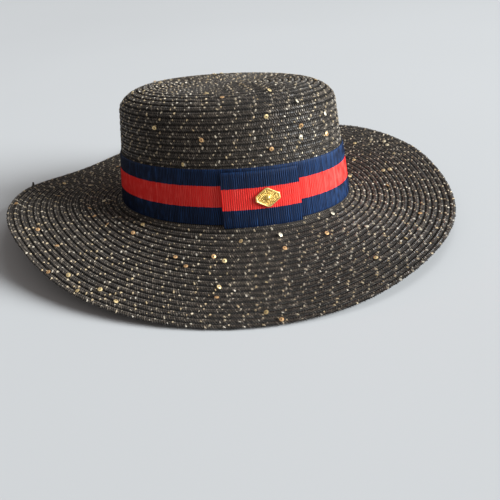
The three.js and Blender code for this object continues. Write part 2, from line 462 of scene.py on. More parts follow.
def close_tree(tree, geometry, material):
    """Realizes what the tree made and gives it its finish."""
    real = made(tree, "GeometryNodeRealizeInstances", {"Geometry": geometry})
    done = made(tree, "GeometryNodeSetMaterial", {"Geometry": real, "Material": material})
    add(tree, "NodeGroupOutput", [done])


def lay(tree, given, points, thing, smooth, placed):
    """Lays a small thing at points, turned and sized as it is placed there."""
    inputs = {"Geometry": thing, "Shade Smooth": smooth}
    shaded = made(tree, "GeometryNodeSetShadeSmooth", inputs)
    inputs = {"Points": points, "Instance": shaded, **placed}
    laid = made(tree, "GeometryNodeInstanceOnPoints", inputs)
    close_tree(tree, laid, given["Material"])


def show_grown(name, base, tree, values, slot, *replaced):
    """A piece that a tree grows from a base mesh, with the tree's inputs set by identifier."""
    start = put(name + "_base", base)
    modifier = start.modifiers.new("nodes", "NODES")
    modifier.node_group = tree
    for item in tree.interface.items_tree:
        if item.in_out == "INPUT" and item.name in values:
            modifier[item.identifier] = values[item.name]
    view = bpy.context.evaluated_depsgraph_get()
    mesh = bpy.data.meshes.new_from_object(start.evaluated_get(view))
    mesh.name = name
    bpy.data.objects.remove(start)
    return show(name, mesh, None, slot, *replaced)


def mark_points(mesh, marks):
    """Stores a named direction or number at each point of a mesh."""
    for name, values in marks.items():
        kind, field = ("FLOAT_VECTOR", "vector") if values.ndim == 2 else ("FLOAT", "value")
        attribute = mesh.attributes.new(name, kind, "POINT")
        attribute.data.foreach_set(field, values.astype(np.float32).ravel())


def sites_mesh(name, sites):
    """Loose points where small things are laid, with their marks."""
    mesh = bpy.data.meshes.new(name)
    mesh.from_pydata(stand(sites["place"]).tolist(), [], [])
    marks = {way: stand_way(sites[way]) for way in ("out", "lie")}
    marks |= {key: values for key, values in sites.items() if key not in ("place", "out", "lie")}
    mark_points(mesh, marks)
    return mesh


def named(tree, name, kind):
    return made(tree, "GeometryNodeInputNamedAttribute", {"Name": name}, data_type=kind)


def random_between(tree, low, high, seed):
    inputs = {2: low, 3: high, "Seed": seed}
    return add(tree, "FunctionNodeRandomValue", inputs, data_type="FLOAT").outputs[1]


def scaled(tree, vector, scale):
    inputs = {0: vector, "Scale": scale}
    return made(tree, "ShaderNodeVectorMath", inputs, operation="SCALE")


def laid_askew(tree, most, seed):
    """The rotation of a site from its own directions, turned a little at random."""
    lie = made(
        tree, "FunctionNodeAxesToRotation",
        [named(tree, "lie", "FLOAT_VECTOR"), named(tree, "out", "FLOAT_VECTOR")],
        primary_axis="X", secondary_axis="Z",
    )
    high = made(tree, "ShaderNodeCombineXYZ", [most, most, most])
    turn = made(
        tree, "FunctionNodeRandomValue", {0: scaled(tree, high, -1.0), 1: high, "Seed": seed},
        data_type="FLOAT_VECTOR",
    )
    askew = made(tree, "FunctionNodeEulerToRotation", [turn])
    return made(tree, "FunctionNodeRotateRotation", [lie, askew], rotation_space="LOCAL")


def grain_tree():
    """Short flat lengths of strand laid at the sites, each of its own size, a little askew."""
    tree, given = geometry_tree("laid_strands", {
        "Taper": "Float", "Askew": "Float", "Smallest": "Float", "Largest": "Float", "Seed": "Int",
        "Material": "Material",
    })
    block = made(tree, "GeometryNodeMeshCube", {"Size": (1, 1, 1)})
    where = made(tree, "GeometryNodeInputPosition")
    _, _, height = split(tree, where)
    at_face = calc(tree, "GREATER_THAN", height, 0.0)
    narrow = times(tree, at_face, times(tree, given["Taper"], -1.0))
    shrink = made(tree, "ShaderNodeCombineXYZ", [narrow, narrow, 0.0])
    offset = made(tree, "ShaderNodeVectorMath", [where, shrink], operation="MULTIPLY")
    tapered = made(tree, "GeometryNodeSetPosition", {"Geometry": block, "Offset": offset})
    grain = made(tree, "GeometryNodeStoreNamedAttribute", {
        "Geometry": tapered, "Name": "grain", "Value": where,
    }, data_type="FLOAT_VECTOR", domain="POINT")
    vary = random_between(tree, given["Smallest"], given["Largest"], given["Seed"])
    lay(tree, given, given["Geometry"], grain, False, {
        "Rotation": laid_askew(tree, given["Askew"], given["Seed"]),
        "Scale": scaled(tree, named(tree, "size", "FLOAT_VECTOR"), vary),
    })
    return tree


def join_sites(parts):
    return {key: np.concatenate([part[key] for part in parts]) for key in parts[0]}


def row_sites(at, strand, across, lift, size):
    """Sites on one row of braid, lying along the strands, with their sizes in metres."""
    across = np.full_like(strand, across)
    lift = np.full_like(strand, lift)
    place, out = at(strand, across, lift)
    ahead, _ = at(strand, across + STRAND_AHEAD, lift)
    sizes = np.tile(np.array(size) / 1000, (len(strand), 1))
    return {"place": place, "out": out, "lie": ahead - place, "size": sizes}


braid_draws = np.random.default_rng(BRAID_SEED)


def strand_sites(surface, rows, crevice_shade):
    """Where the strands come up. The darker its dye, the more painted shade a strand takes towards the
    row's edge.
    """
    parts = []
    for row in rows:
        strands, at = braid_row(surface, row)
        for cell in STRAND_CELLS:
            size = [cell[key] for key in ("length", "width", "thickness")]
            part = row_sites(at, np.arange(strands, dtype=float), cell["across"], CELL_LIFT, size)
            part["end"] = braid_draws.random(strands)
            part["edge"] = crevice_shade * cell["edge"] * (CREVICE_SHADE_MOST - part["end"])
            parts.append(part)
    return join_sites(parts)


grains = grain_tree()
straw_strands = strand_finish()
straw_strip = strip_finish()


def braided(name, surface, rows, node, crevice_shade, bare_from=None, doubled=None):
    """A stretch of the sewn braid: its strips, and its strands where they show."""
    strip = sewn_braid(name + "_strip", surface, rows, doubled)
    show(name + "_strip", strip, straw_strip, "straw", node)
    shown = [row for row in rows if bare_from is None or row < bare_from]
    if shown:
        sites = sites_mesh(name, strand_sites(surface, shown, crevice_shade))
        values = {"Material": straw_strands, **STRAND_LAY}
        show_grown(name + "_strands", sites, grains, values, "straw", node)


# The strands stop a little below the top edge of the ribbon, which hides the rest.
RIBBON_FOOT = 1.7
RIBBON_WIDTH = 40.5
STRANDS_UNDER_RIBBON = 4
SHOULDER_ROW = 16
bare_height = RIBBON_FOOT + RIBBON_WIDTH - STRANDS_UNDER_RIBBON
bare_row = np.interp(bare_height, profile[::-1, 1], profile_run[::-1]) / crown_row_width
side_rows = range(SHOULDER_ROW, CROWN_ROWS)
braided("crown_top", crown_at, range(SHOULDER_ROW), "crown", CROWN_CREVICE_SHADE)
braided("crown_side", crown_at, side_rows, "crown", CROWN_CREVICE_SHADE, bare_from=bare_row)

# The brim
# The same braid goes on outwards from the crown's foot in flatter rounds. The brim droops at the
# front right, lifts at the left side and flattens towards the rim, whose last round is doubled.
BRIM_ROWS = 18
BRIM_PARTS = [0, 7, 13, 18]
BRIM_BEND = 0.5
BRIM_CREVICE_SHADE = 1.0
BRIM_ROOT = {"rise": 3.2, "rows": 0.5}
BRIM_STEP = {"bearing": 0.5, "row": 0.1}
# The brim's sections, an even turn apart from the front round to the left.
BRIM_SECTIONS = [
    {"reach": 83, "rise": -18},
    {"reach": 82, "rise": -5},
    {"reach": 84, "rise": 15},
    {"reach": 88, "rise": 22},
    {"reach": 90, "rise": 10},
    {"reach": 92, "rise": 16},
    {"reach": 93, "rise": 2},
    {"reach": 94, "rise": 7},
    {"reach": 93, "rise": 2},
    {"reach": 91, "rise": -22},
    {"reach": 88, "rise": -35},
    {"reach": 86, "rise": -33},
]


def around_brim(bearing, column):
    """A smooth closed curve through one column of the sections."""
    values = np.array([section[column] for section in BRIM_SECTIONS], float)
    place = np.asarray(bearing) / 360 * len(values)
    first = np.floor(place).astype(int)
    t = place - first
    a, b, c, d = (values[(first + offset) % len(values)] for offset in (-1, 0, 1, 2))
    bends = (c - a) * t + (2 * a - 5 * b + 4 * c - d) * t**2 + (3 * b - a - 3 * c + d) * t**3
    return b + bends / 2


def brim_point(bearing, row):
    share = row / BRIM_ROWS
    height = around_brim(bearing, "rise") * ((1 + BRIM_BEND) * share - BRIM_BEND * share**2)
    height = height + BRIM_ROOT["rise"] * np.exp(-row / BRIM_ROOT["rows"])
    away = around_brim(bearing, "reach") * share
    return crown_oval(bearing, 0.0, height) + outward(bearing) * away[..., None]


def brim_at(bearing, row):
    """Points and upward directions on the brim, at a number of rows from its inner edge."""
    row = np.clip(row, 0, BRIM_ROWS)
    turn, step = BRIM_STEP["bearing"], BRIM_STEP["row"]
    ahead = brim_point(bearing + turn, row) - brim_point(bearing - turn, row)
    across = brim_point(bearing, row + step) - brim_point(bearing, row - step)
    up = np.cross(across, ahead)
    return brim_point(bearing, row), up / np.linalg.norm(up, axis=-1, keepdims=True)


for part, (first_row, end_row) in enumerate(zip(BRIM_PARTS, BRIM_PARTS[1:]), start=1):
    part_rows = range(first_row, end_row)
    braided(f"brim_{part}", brim_at, part_rows, "brim", BRIM_CREVICE_SHADE, doubled=BRIM_ROWS - 1)

# The braid's last end is turned out at the back of the rim and tacked, and stands up a little.
BRAID_END = {"bearing": 202, "turns": (-0.3, 0.0, 0.3), "rise": 1.0, "size": (1.5, 1.3, 4.0)}
BRAID_END_LAY = STRAND_LAY | {"Taper": 0.7}
BRAID_END_DYE = 0.2


def surface_sites(surface, bearing, row, lift, size, end):
    """Sites at places on the crown or the brim, lying along the rows, with their sizes in metres."""
    place, out = surface(bearing, row)
    ahead, _ = surface(bearing + 1, row)
    sizes = np.tile(np.array(size) / 1000, (len(bearing), 1))
    return {"place": place + out * lift, "out": out, "lie": ahead - place, "size": sizes, "end": end}


end_bearing = BRAID_END["bearing"] + np.array(BRAID_END["turns"])
end_sites = surface_sites(
    brim_at, end_bearing, np.full_like(end_bearing, BRIM_ROWS), BRAID_END["rise"],
    BRAID_END["size"], np.full_like(end_bearing, BRAID_END_DYE),
)
end_sites["edge"] = np.zeros_like(end_bearing)
show_grown(
    "braid_end", sites_mesh("braid_end", end_sites), grains,
    {"Material": straw_strands, **BRAID_END_LAY}, "straw",
)

# The metallic thread
# One end in seven carries a strip of gilt film. It shows as a bright sliver wherever that end
# comes up, once on each side of the plait's spine, on the outside and on the inside alike.
PLAIT_ENDS = 7
FILM_PLACES = [
    {"across": 0.41, "behind": 0, "lift": 0.35, "size": (1.9, 1.25, 1.0)},
    {"across": 0.77, "behind": 2, "lift": 0.35, "size": (2.2, 1.05, 0.95)},
    {"across": 0.25, "behind": 3, "lift": -0.4, "size": (2.0, 1.0, 0.4)},
    {"across": 0.70, "behind": 5, "lift": -0.4, "size": (2.0, 0.9, 0.4)},
]
FILM_MISSING = 0.04
FILM_LAY = {"Taper": 0.4, "Askew": 0.3, "Smallest": 0.75, "Largest": 1.2, "Seed": 7}
FILM_PALE = (0.56, 0.50, 0.41, 1)
FILM_WARM = (0.56, 0.42, 0.24, 1)
FILM_ROUGHNESS = {"none": 0.5, "full": 0.65}
FILM_METAL = 0.25


def film_sites(surface, rows, coiled, bare_from):
    """Where the film comes up: the plait's count of strands goes on from round to round."""
    parts = []
    for row in rows:
        strands, at = braid_row(surface, row)
        for place in FILM_PLACES:
            if row >= bare_from and place["lift"] > 0:
                continue
            first = (-coiled - place["behind"]) % PLAIT_ENDS
            strand = np.arange(first, strands, PLAIT_ENDS, dtype=float)
            strand = strand[braid_draws.random(len(strand)) > FILM_MISSING]
            part = row_sites(at, strand, place["across"], place["lift"], place["size"])
            part["out"] = part["out"] * np.sign(place["lift"])
            part["end"] = braid_draws.random(len(strand))
            parts.append(part)
        coiled += strands
    return join_sites(parts), coiled


def film_finish():
    material, tree, shader = new_finish("gilt_film")
    end = marked(tree, "end")
    feed(tree, shader, {
        "Base Color": blend_colour(tree, end, FILM_PALE, FILM_WARM),
        "Roughness": between(tree, end, **FILM_ROUGHNESS),
        "Metallic": FILM_METAL,
    })
    return material


gilt_film = film_finish()
coiled_strands = 0
for film_name, film_surface, film_rows, film_bare in (
    ("crown_film", crown_at, CROWN_ROWS, bare_row),
    ("brim_film", brim_at, BRIM_ROWS, BRIM_ROWS),
):
    sites, coiled_strands = film_sites(film_surface, range(film_rows), coiled_strands, film_bare)
    film_base = sites_mesh(film_name, sites)
    show_grown(film_name, film_base, grains, {"Material": gilt_film, **FILM_LAY}, "brass")

# The sequins
# Small cupped gilt washers, some coppery and some pale, are threaded on the braid here and there
# before it is sewn. The ones in sight are placed one by one and the others are strewn.
SEQUIN_WIDTH = 3.2
SEQUIN_LIFT = 0.95
SEQUIN_SIDES = 18
SEQUIN_FORM = {"Hole": 0.3, "Thickness": 0.07, "Cup": math.radians(16), "Askew": 0.45, "Seed": 2}
SEQUIN_COPPER = (0.72, 0.43, 0.20, 1)
SEQUIN_GOLD = (0.80, 0.60, 0.30, 1)
SEQUIN_PALE = (0.80, 0.72, 0.55, 1)
SEQUIN_SURFACE = {"Metallic": 0.6, "Roughness": 0.40}
SEQUIN_TINTS = {"copper": 0.0, "gold": 0.5, "pale": 1.0}
SEQUIN_COLUMNS = ("bearing", "row", "tint")
SEQUINS_IN_SIGHT = {
    "crown": [
        (283, 22.8, "gold"),
        (268, 17.7, "gold"),
        (293, 19.2, "copper"),
        (292, 10.6, "gold"),
        (303, 12.4, "copper"),
        (333, 11.4, "gold"),
        (324, 16.5, "gold"),
        (343, 15.0, "pale"),
        (1, 17.7, "pale"),
        (342, 18.5, "copper"),
        (341, 20.1, "pale"),
        (325, 21.1, "copper"),
        (0, 20.7, "copper"),
    ],
    "brim": [
        (308, 2.5, "gold"),
        (324, 2.1, "pale"),
        (324, 4.5, "copper"),
        (286, 5.9, "copper"),
        (291, 7.2, "copper"),
        (299, 5.1, "copper"),
        (303, 5.8, "gold"),
        (303, 10.4, "gold"),
        (303, 12.3, "copper"),
        (315, 15.6, "gold"),
        (318, 17.4, "copper"),
        (342, 4.0, "copper"),
        (347, 12.2, "gold"),
        (353, 1.1, "pale"),
        (357, 6.6, "pale"),
        (359, 12.9, "gold"),
        (5, 13.6, "pale"),
        (14, 12.5, "copper"),
        (34, 7.3, "copper"),
        (232, 5.6, "copper"),
        (241, 5.7, "copper"),
        (250, 5.1, "copper"),
        (262, 1.7, "gold"),
        (263, 3.9, "copper"),
        (242, 14.4, "copper"),
        (252, 13.6, "copper"),
        (260, 17.5, "copper"),
        (264, 15.9, "gold"),
        (270, 17.3, "gold"),
        (280, 16.3, "gold"),
        (274, 15.4, "gold"),
    ],
}
SEQUINS_STREWN = {
    "crown": {"count": 14, "bearings": (20, 255), "rows": (4, 23)},
    "brim": {"count": 40, "bearings": (45, 225), "rows": (1, 17.5)},
}


def sequin_sites(surface, on):
    """Sites of the sequins on the crown or the brim: the charted ones and the strewn ones."""
    charted = dict(zip(SEQUIN_COLUMNS, zip(*SEQUINS_IN_SIGHT[on])))
    strewn = SEQUINS_STREWN[on]
    count = strewn["count"]
    strewn_bearing = braid_draws.uniform(*strewn["bearings"], count)
    strewn_row = braid_draws.uniform(*strewn["rows"], count)
    strewn_tint = braid_draws.random(count)
    bearing = np.append(charted["bearing"], strewn_bearing)
    row = np.append(charted["row"], strewn_row)
    tint = np.append([SEQUIN_TINTS[name] for name in charted["tint"]], strewn_tint)
    return surface_sites(surface, bearing, row, SEQUIN_LIFT, [SEQUIN_WIDTH] * 3, tint)


def sequin_tree():
    """Cupped washers of unit width, laid at the sites askew and sized there."""
    tree, given = geometry_tree("laid_sequins", {
        "Hole": "Float", "Thickness": "Float", "Cup": "Float", "Askew": "Float", "Seed": "Int",
        "Material": "Material",
    })
    middle = between(tree, given["Hole"], 0.25, 0.5)
    breadth = between(tree, given["Hole"], 0.5, 0.0)
    path = made(
        tree, "GeometryNodeCurvePrimitiveCircle", {"Resolution": SEQUIN_SIDES, "Radius": middle},
    )
    section = made(tree, "GeometryNodeCurvePrimitiveQuadrilateral", {
        "Width": breadth, "Height": given["Thickness"],
    })
    cup = made(tree, "ShaderNodeCombineXYZ", [0.0, 0.0, given["Cup"]])
    turned = made(tree, "GeometryNodeTransform", {"Geometry": section, "Rotation": cup})
    washer = made(tree, "GeometryNodeCurveToMesh", {"Curve": path, "Profile Curve": turned})
    lay(tree, given, given["Geometry"], washer, False, {
        "Rotation": laid_askew(tree, given["Askew"], given["Seed"]),
        "Scale": named(tree, "size", "FLOAT_VECTOR"),
    })
    return tree


def sequin_finish():
    """Gilt that goes with the tint from copper over gold to pale."""
    material, tree, shader = new_finish("sequin_gilt")
    twice = times(tree, marked(tree, "end"), 2.0)
    warm = blend_colour(tree, twice, SEQUIN_COPPER, SEQUIN_GOLD)
    over = calc(tree, "MAXIMUM", calc(tree, "SUBTRACT", twice, 1.0), 0.0)
    feed(tree, shader, {
        "Base Color": blend_colour(tree, over, warm, SEQUIN_PALE), **SEQUIN_SURFACE,
    })
    return material


sequins = sequin_tree()
sequin_gilt = sequin_finish()
for hat_part, hat_surface in (("crown", crown_at), ("brim", brim_at)):
    sequin_name = hat_part + "_sequins"
    sequin_base = sites_mesh(sequin_name, sequin_sites(hat_surface, hat_part))
    sequin_values = {"Material": sequin_gilt, **SEQUIN_FORM}
    show_grown(sequin_name, sequin_base, sequins, sequin_values, "brass")

# The ribbon band
# Grosgrain ribbon in navy with a red middle stripe, wound once around the crown's foot over the
# braid and tacked. Its ribs run up and down, and its woven edges are a little thinner.
RIB = 1.5
RIB_HEIGHT = 0.28
STEPS_PER_RIB = 4
SIDE_SAMPLES = 2000
PIECE_GAP = 0.3
RIBBON_THICKNESS = 0.8
WOVEN_EDGE = {"share": 0.05, "thickness": 0.5}
# The pale colours are a painted highlight on the ribs' crests, scaled by the ribs' random wear; the
# furrows keep the dark colours as painted shade.
NAVY = (0.0016, 0.0036, 0.014, 1)
NAVY_PALE = (0.016, 0.052, 0.155, 1)
RED = (0.78, 0.013, 0.010, 1)
RED_PALE = (1.0, 0.115, 0.092, 1)
STRIPE_LOW = 0.327
STRIPE_HIGH = 0.705
STRIPE_RAGGED = 0.007
THREAD = {"Along Scale": 1.4, "Across Scale": 150.0, "Detail": 2.0}
SWAY = {"Along Scale": 0.35, "Across Scale": 5.0, "Detail": 1.0}
SWAY_RIBS = 0.8
WORN = {"rib": 0.6, "thread": 0.4, "least": 0.25}
RIBBON_ROUGHNESS = {"none": 0.42, "full": 0.67}
RIBBON_RELIEF = {"Strength": 0.4, "Distance": 0.0002}
RIBBON_SPECULAR = 0.15

# A ribbon's section, from its top edge down the face to the foot and back up behind.
FACE_SHARES = [1.0, 0.988, 0.95, 0.89, 0.77, 0.65, 0.53, 0.41, 0.29, 0.17, 0.05, 0.012, 0.0]
BACK_SHARES = [0.03, 0.34, 0.66, 0.97]
ribbon_shares = np.array(FACE_SHARES + BACK_SHARES)
ribbon_is_face = np.arange(len(ribbon_shares)) < len(FACE_SHARES)
edge_distance = np.minimum(ribbon_shares, 1 - ribbon_shares)
ribbon_fullness = np.clip(edge_distance / WOVEN_EDGE["share"], 0, 1)


def side_point(bearing, height):
    return crown_oval(bearing, SIDE_LEAN * height / SIDE_HEIGHT, height)


def side_bearings(start, end, height):
    """Bearings an even distance apart along the crown's side, and that distance in all."""
    fine = np.linspace(start, end, SIDE_SAMPLES)
    run = run_along(side_point(fine, np.full_like(fine, height)))
    steps = STEPS_PER_RIB * round(run[-1] / RIB)
    return np.interp(np.linspace(0, run[-1], steps + 1), run, fine), run[-1]


def ribbon_mesh(name, bearings, ribs, foot, behind, thickness, closed):
    """A ribbon on the crown's side, with the ribs numbered along it and the face marked."""
    height = foot + RIBBON_WIDTH * ribbon_shares[None, :]
    thinned = WOVEN_EDGE["thickness"]
    depth = np.where(ribbon_is_face, thinned + (1 - thinned) * np.sqrt(ribbon_fullness), 0.0)
    steps, sides = len(bearings), len(ribbon_shares)
    off = np.broadcast_to(behind + thickness * depth, (steps, sides))
    points = side_point(bearings[:, None], height) + outward(bearings)[:, None, :] * off[..., None]
    quads, loop, side = wrapped_faces(steps, sides, closed)
    faces = quads.tolist()
    turns = np.append(ribs, 2 * ribs[-1] - ribs[-2])
    uv = np.stack([turns[loop], ribbon_shares[side]], -1).reshape(-1, 2)
    if not closed:
        first = np.arange(sides)
        faces += [first.tolist(), (first[::-1] + (steps - 1) * sides).tolist()]
        caps = np.stack([np.repeat([ribs[0], ribs[-1]], sides), np.tile(ribbon_shares, 2)], -1)
        uv = np.concatenate([uv, caps])
    mesh = smooth_mesh(name, stand(points.reshape(-1, 3)), faces, "cloth", uv)
    face = np.tile(ribbon_is_face * ribbon_fullness, steps)
    mark_points(mesh, {"rib": np.repeat(ribs, sides), "face": face})
    return mesh


def rib_tree():
    """Raises the rounded ribs of a grosgrain on the marked face of a ribbon."""
    tree, given = geometry_tree("grosgrain_ribs", {"Rib Height": "Float", "Material": "Material"})
    turn = times(tree, named(tree, "rib", "FLOAT"), 2 * math.pi)
    wave = times(tree, calc(tree, "COSINE", turn), named(tree, "face", "FLOAT"))
    lift = times(tree, wave, given["Rib Height"])
    normal = made(tree, "GeometryNodeInputNormal")
    ribbed = made(tree, "GeometryNodeSetPosition", {
        "Geometry": given["Geometry"], "Offset": scaled(tree, normal, lift),
    })
    close_tree(tree, ribbed, given["Material"])
    return tree


def grosgrain_finish():
    """Ribs of uneven tone with painted shade in their furrows and a painted highlight on their crests,
    fine threads across them, and a stripe with a slightly ragged edge.
    """
    material, tree, shader = new_finish("striped_grosgrain")
    cloth = made(tree, "ShaderNodeUVMap", uv_map="cloth")
    rib, height, _ = split(tree, cloth)
    each = made(
        tree, "ShaderNodeTexWhiteNoise", {"W": calc(tree, "FLOOR", calc(tree, "ADD", rib, 0.5))},
        noise_dimensions="1D",
    )
    thread = grouped(tree, fibre_streaks, {"Along": rib, "Across": height, **THREAD})
    sway = grouped(tree, fibre_streaks, {"Along": rib, "Across": height, **SWAY})
    swayed = calc(tree, "MULTIPLY_ADD", sway, SWAY_RIBS, rib)
    ridge = grouped(tree, rounded_ridges, {"Number": swayed})
    strayed = calc(tree, "SUBTRACT", each, 0.5)
    ragged = calc(tree, "MULTIPLY_ADD", strayed, STRIPE_RAGGED, height)
    middle = (STRIPE_LOW + STRIPE_HIGH) / 2
    from_middle = calc(tree, "ABSOLUTE", calc(tree, "SUBTRACT", ragged, middle))
    stripe = calc(tree, "LESS_THAN", from_middle, (STRIPE_HIGH - STRIPE_LOW) / 2)
    worn_thread = calc(tree, "MULTIPLY_ADD", thread, WORN["thread"], WORN["least"])
    worn = calc(tree, "MULTIPLY_ADD", each, WORN["rib"], worn_thread)
    # Painted highlight on the rib crests and painted shade in the furrows, on top of the raised ribs,
    # times the random wear.
    tone = times(tree, ridge, worn)
    navy = blend_colour(tree, tone, NAVY, NAVY_PALE)
    red = blend_colour(tree, tone, RED, RED_PALE)
    feed(tree, shader, {
        "Base Color": blend_colour(tree, stripe, navy, red),
        "Roughness": between(tree, thread, **RIBBON_ROUGHNESS),
        "Normal": bumped(tree, thread, RIBBON_RELIEF),
        "Specular IOR Level": RIBBON_SPECULAR,
    })
    return material


grosgrain = grosgrain_finish()
ribs_on_face = rib_tree()
rib_values = {"Rib Height": RIB_HEIGHT / 1000, "Material": grosgrain}
band_bearings, band_length = side_bearings(0, 360, RIBBON_FOOT + RIBBON_WIDTH / 2)
band_bearings = band_bearings[:-1]
band_ribs = np.arange(len(band_bearings)) / STEPS_PER_RIB
band_base = ribbon_mesh(
    "ribbon_grosgrain", band_bearings, band_ribs, RIBBON_FOOT, PIECE_GAP, RIBBON_THICKNESS,
    closed=True,
)
band = show_grown(
    "ribbon_grosgrain", band_base, ribs_on_face, rib_values, "ribbon", "ribbon_band",
)

# The keeper
# A short flat loop of the same ribbon, two layers thick, laid over the band's joined ends a little
# lower than the band. Its front edge stands off the band, and its folded ends are round.
KEEPER_FOOT = -0.3
KEEPER_THICKNESS = 1.6
KEEPER_FROM = 301
KEEPER_TO = 336.3
KEEPER_LOFT = 0.1
KEEPER_LIFT = 1.2
KEEPER_LIFT_SHARPNESS = 4
FOLD_TURNS = np.radians([80, 55, 30])
FOLD_RIBS = np.array([0.3, 0.2, 0.1])
CREASE = {"share": 0.81, "middle": 0.33, "half_length": 0.22, "half_width": 0.03, "depth": 0.3}


def along_keeper(bearing):
    return (bearing - KEEPER_FROM) / (KEEPER_TO - KEEPER_FROM)


def keeper_off(bearing):
    """How far the keeper's back stands off the crown's side."""
    lift = KEEPER_LIFT * np.clip(1 - along_keeper(bearing), 0, 1) ** KEEPER_LIFT_SHARPNESS
    return PIECE_GAP + RIBBON_THICKNESS + KEEPER_LOFT + lift


flat_bearings, keeper_length = side_bearings(
    KEEPER_FROM, KEEPER_TO, KEEPER_FOOT + RIBBON_WIDTH / 2,
)
flat_ribs = np.arange(len(flat_bearings)) / STEPS_PER_RIB
fold_full = np.cos(FOLD_TURNS)
fold_reach = KEEPER_THICKNESS / 2 * np.sin(FOLD_TURNS) * (KEEPER_TO - KEEPER_FROM) / keeper_length
keeper_full = np.concatenate([fold_full, np.ones(len(flat_bearings)), fold_full[::-1]])
keeper_bearings = np.concatenate([
    KEEPER_FROM - fold_reach, flat_bearings, KEEPER_TO + fold_reach[::-1],
])
keeper_ribs = np.concatenate([-FOLD_RIBS, flat_ribs, flat_ribs[-1] + FOLD_RIBS[::-1]])
crease_place = (along_keeper(keeper_bearings) - CREASE["middle"]) / CREASE["half_length"]
crease_along = np.exp(-crease_place**4)[:, None]
crease_across = np.exp(-((ribbon_shares - CREASE["share"]) / CREASE["half_width"])**2)[None, :]
keeper_behind = keeper_off(keeper_bearings) + KEEPER_THICKNESS / 2 * (1 - keeper_full)
keeper_base = ribbon_mesh(
    "keeper_grosgrain", keeper_bearings, keeper_ribs, KEEPER_FOOT,
    keeper_behind[:, None] - CREASE["depth"] * crease_along * crease_across,
    KEEPER_THICKNESS * keeper_full[:, None], closed=False,
)
keeper = show_grown(
    "keeper_grosgrain", keeper_base, ribs_on_face, rib_values, "ribbon", "ribbon_tab",
)

# The stud
# A small stamped gilt plate pinned through the keeper: a lozenge with cut ends, a plain raised
# rim, a sunk field of granules and a round boss in the middle.
STUD = {"bearing": 320.7, "height": 20.8, "length": 18.0, "width": 14.0, "end": 4.0, "tilt": 4}
STUD_RINGS = [
    {"share": 0.90, "height": 0.0, "round": 0.0},
    {"share": 0.97, "height": 0.1, "round": 0.0},
    {"share": 1.00, "height": 0.5, "round": 0.0},
    {"share": 1.00, "height": 1.0, "round": 0.0},
    {"share": 0.97, "height": 1.5, "round": 0.0},
    {"share": 0.92, "height": 1.8, "round": 0.0},
    {"share": 0.86, "height": 1.6, "round": 0.0},
    {"share": 0.82, "height": 1.1, "round": 0.1},
    {"share": 0.60, "height": 1.2, "round": 0.5},
    {"share": 0.40, "height": 1.3, "round": 1.0},
    {"share": 0.37, "height": 1.9, "round": 1.0},
    {"share": 0.32, "height": 2.4, "round": 1.0},
    {"share": 0.22, "height": 3.0, "round": 1.0},
    {"share": 0.10, "height": 3.4, "round": 1.0},
]
FIELD_RINGS = slice(7, 10)
STUD_EDGE_STEPS = 5
BOSS_RADIUS = 5.0
GILT = (1.0, 0.69, 0.19, 1)
GILT_BRIGHT = (1.0, 0.81, 0.34, 1)
GILT_RECESS = (0.62, 0.38, 0.08, 1)
GILT_WEAR = {"Scale": 420.0, "Detail": 3.0}
GILT_ROUGHNESS = {"none": 0.28, "full": 0.50}
GILT_METAL = 0.8


def stud_ring(ring):
    """One ring of the stud's relief, from the lozenge at its rim to the circle of its boss."""
    length, width, end = (STUD[key] / 2 for key in ("length", "width", "end"))
    corners = np.array([
        (length, -end), (length, end), (end / 2, width), (-end / 2, width),
        (-length, end), (-length, -end), (-end / 2, -width), (end / 2, -width),
    ])
    ahead = np.roll(corners, -1, axis=0)
    steps = np.linspace(0, 1, STUD_EDGE_STEPS, endpoint=False)[None, :, None]
    edge = (corners[:, None] + (ahead - corners)[:, None] * steps).reshape(-1, 2)
    circle = edge / np.linalg.norm(edge, axis=1, keepdims=True) * BOSS_RADIUS
    flat = (edge + (circle - edge) * ring["round"]) * ring["share"]
    return np.column_stack([flat, np.full(len(flat), ring["height"])])


def place_stud(points):
    """From the stud's own plane to the keeper's face."""
    at = np.array(STUD["bearing"], float)
    out = Vector(outward(at))
    along = Vector((-out.y, out.x, 0))
    face = Matrix.Rotation(-math.atan2(SIDE_LEAN, SIDE_HEIGHT), 3, along) @ out
    turn = Matrix((along, face.cross(along), face)).transposed()
    turn = np.array(turn @ Matrix.Rotation(math.radians(STUD["tilt"]), 3, "Z"))
    off = keeper_off(at) + KEEPER_THICKNESS + PIECE_GAP
    return stand(points @ turn.T + side_point(at, STUD["height"]) + np.array(out) * off)


def relief_mesh(name, rings, capped):
    """A skin over some of the stud's rings, closed below and above where it is capped."""
    points = np.concatenate([stud_ring(ring) for ring in rings])
    sides = len(points) // len(rings)
    quads, _, _ = wrapped_faces(len(rings), sides, closed=False)
    faces = quads.tolist()
    if capped:
        first = np.arange(sides)
        faces += [first[::-1].tolist(), (first + len(points) - sides).tolist()]
    return smooth_mesh(name, place_stud(points), faces)


def gilt_finish():
    material, tree, shader = new_finish("gilt_brass")
    wear = grouped(tree, soft_patches, GILT_WEAR)
    raised = blend_colour(tree, wear, GILT, GILT_BRIGHT)
    feed(tree, shader, {
        "Base Color": blend_colour(tree, marked(tree, "recess"), raised, GILT_RECESS),
        "Roughness": between(tree, wear, **GILT_ROUGHNESS),
        "Metallic": GILT_METAL,
    })
    return material


gilt = gilt_finish()
stud_mesh = relief_mesh("stud_plate", STUD_RINGS, capped=True)
recessed = np.zeros(len(STUD_RINGS))
recessed[FIELD_RINGS] = 1
stud_sides = len(stud_mesh.vertices) // len(STUD_RINGS)
mark_points(stud_mesh, {"recess": np.repeat(recessed, stud_sides)})
show("stud_plate", stud_mesh, gilt, "brass", "stud")

